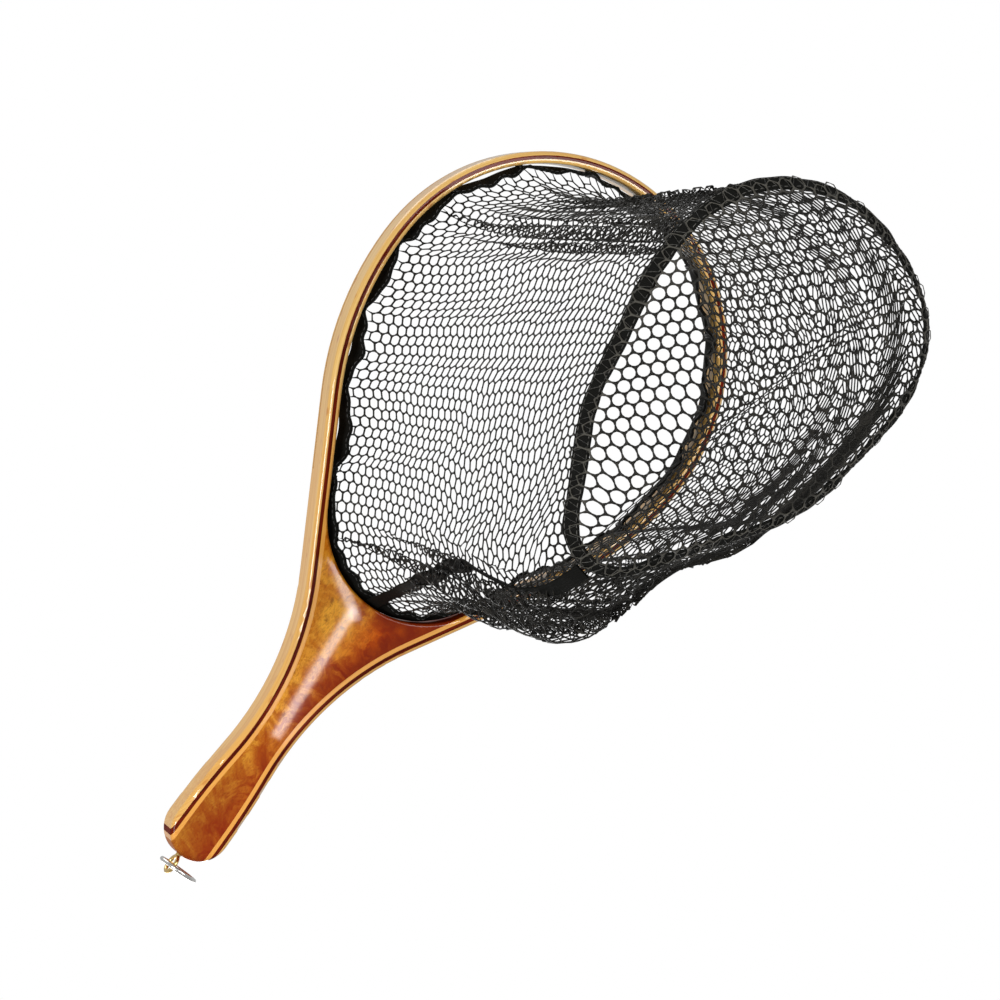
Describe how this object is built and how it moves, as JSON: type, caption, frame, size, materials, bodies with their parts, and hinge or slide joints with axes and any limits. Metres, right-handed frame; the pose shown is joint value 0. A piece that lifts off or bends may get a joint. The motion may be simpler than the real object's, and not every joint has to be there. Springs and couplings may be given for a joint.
{
  "type": "landing net",
  "caption": "Hand-held trout net: laminated wooden hoop and handle with a laced, flat-bottomed mesh bag that collapses upwards.",
  "frame": {"origin": "centre of the grip at mid thickness, where a hand holds the net", "axes": "+Y from the grip to the hoop's tip, +Z out of the bag's mouth, +X across the hoop"},
  "size_m": [0.22, 0.4459, 0.2485],
  "materials": {
    "light_wood": "gloss lacquer over pale ash with fine grain",
    "dark_wood": "gloss lacquer over dark red rosewood",
    "burl": "high gloss lacquer over stained burl, darker at the edges",
    "cord": "braided black cord",
    "tape": "woven black webbing",
    "thread": "black sewing thread",
    "netting": "soft black knotless nylon mesh",
    "brass": "polished brass",
    "steel": "nickel-plated steel wire"
  },
  "bodies": {
    "frame": {"outer_lamination": "light_wood", "middle_lamination": "dark_wood", "inner_lamination": "light_wood", "handle_core": "burl", "lacing_cord": "cord", "lacing_loops": "cord", "lacing_knots": "cord", "hem_tape": "tape", "hem_stitching": "thread", "bag_wall": "netting", "side_seam_tape": "tape", "screw_eye": "brass"},
    "bag_bottom": {"bottom_binding": "tape", "binding_stitching": "thread", "bottom_panel": "netting"},
    "lanyard": {"split_ring": "steel"}
  },
  "joints": [
    {"name": "bag_lift", "type": "slide", "parent": "frame", "child": "bag_bottom", "axis": [0, 0, 1], "range_m": [0, 0.18]},
    {"name": "ring_swing", "type": "hinge", "parent": "frame", "child": "lanyard", "pos_m": [0, -0.05523, -0.00225], "axis": [1, 0, 0], "range_deg": [-150, 25]}
  ]
}
